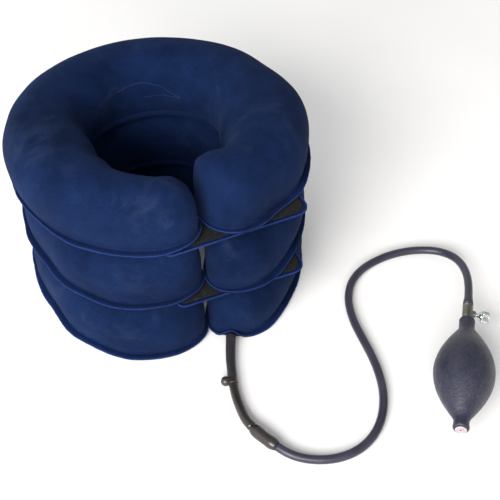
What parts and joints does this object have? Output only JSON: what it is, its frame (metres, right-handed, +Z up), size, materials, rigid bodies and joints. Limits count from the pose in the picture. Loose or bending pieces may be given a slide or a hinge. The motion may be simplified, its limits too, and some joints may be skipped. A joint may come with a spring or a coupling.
{
  "type": "cervical traction collar",
  "caption": "Inflatable neck traction collar: stacked C-shaped velour air rings with closure straps, a rubber air line and a hand pump bulb with release valve.",
  "frame": {"origin": "centre of the footprint of the collar and its pump bulb, on the surface they stand on", "axes": "+Z up through the neck opening; the slot of the rings faces -Y, the pump bulb lies towards -Y and +X"},
  "size_m": [0.3803, 0.4419, 0.1854],
  "materials": {
    "velour": "navy velour laminate, matt pile",
    "velour_base": "navy velour underside panel",
    "loop_pad": "charcoal loop pile",
    "hook_patch": "black hook tape",
    "bladder_film": "soft air bladder film",
    "pvc_fitting": "soft moulded fitting",
    "rubber_dark": "dark grey rubber tube",
    "rubber_gloss": "glossy brown-black rubber",
    "rubber_blue": "blue-grey rubber hose",
    "rubber_bulb": "blue-grey rubber bulb",
    "valve_metal": "dull plated brass",
    "screw_chrome": "bright chrome",
    "ball_steel": "polished steel",
    "pale_plastic": "pale pinkish plastic"
  },
  "bodies": {
    "collar_base": {"bottom_ring_cover": "velour", "bottom_ring_base_panel": "velour_base", "bottom_ring_bladder": "bladder_film", "inlet_nipple": "pvc_fitting", "ring_outlet_tube": "rubber_dark", "hose_side_nub": "rubber_gloss", "collar_hose": "rubber_gloss", "hose_joiner": "pale_plastic", "joint_sleeve": "rubber_gloss", "pump_hose": "rubber_blue", "release_valve_body": "valve_metal", "outlet_valve_seat": "pvc_fitting", "pump_bulb": "rubber_bulb", "intake_valve_body": "pale_plastic", "intake_ball_retainer": "pale_plastic"},
    "middle_ring": {"middle_ring_cover": "velour", "middle_ring_base_panel": "velour_base", "middle_ring_bladder": "bladder_film", "lower_air_transfer_tube": "pvc_fitting", "lower_closure_strap": "velour", "lower_strap_loop_pad": "loop_pad", "lower_hook_patch": "hook_patch"},
    "top_ring": {"top_ring_cover": "velour", "top_ring_base_panel": "velour_base", "top_ring_bladder": "bladder_film", "upper_air_transfer_tube": "pvc_fitting", "upper_closure_strap": "velour", "upper_strap_loop_pad": "loop_pad", "upper_hook_patch": "hook_patch"},
    "needle": {"release_needle": "ball_steel"},
    "thumbscrew": {"release_thumbscrew": "screw_chrome"},
    "outlet_ball": {"outlet_check_ball": "ball_steel"},
    "intake_ball": {"intake_check_ball": "ball_steel"}
  },
  "joints": [
    {"name": "middle_ring_deflate", "type": "slide", "parent": "collar_base", "child": "middle_ring", "axis": [0, 0, 1], "range_m": [-0.044, 0], "stiffness_N_per_m": 4000, "deforming": ["bottom_ring_cover", "bottom_ring_bladder", "middle_ring_cover", "middle_ring_bladder"]},
    {"name": "top_ring_deflate", "type": "slide", "parent": "middle_ring", "child": "top_ring", "axis": [0, 0, 1], "range_m": [-0.044, 0], "stiffness_N_per_m": 4000, "deforming": ["top_ring_cover", "top_ring_bladder"]},
    {"name": "release_needle_travel", "type": "slide", "parent": "collar_base", "child": "needle", "axis": [0.7781, -0.5927, -0.2079], "range_m": [0, 0.0014]},
    {"name": "thumbscrew_turn", "type": "hinge", "parent": "needle", "child": "thumbscrew", "pos_m": [0.1686, -0.12227, 0.0238], "axis": [0.7781, -0.5927, -0.2079], "range_deg": [0, 720]},
    {"name": "pump_stroke", "type": "slide", "parent": "collar_base", "child": "outlet_ball", "axis": [0.606, 0.7955, 0], "range_m": [0, 0.0012], "deforming": ["pump_bulb"]},
    {"name": "intake_ball_lift", "type": "slide", "parent": "collar_base", "child": "intake_ball", "axis": [0.606, 0.7955, 0], "range_m": [0, 0.0012]}
  ],
  "couplings": [
    {"joint": "top_ring_deflate", "follows": "middle_ring_deflate", "ratio": 1},
    {"joint": "thumbscrew_turn", "follows": "release_needle_travel", "rad_per_m": 8975.9}
  ]
}
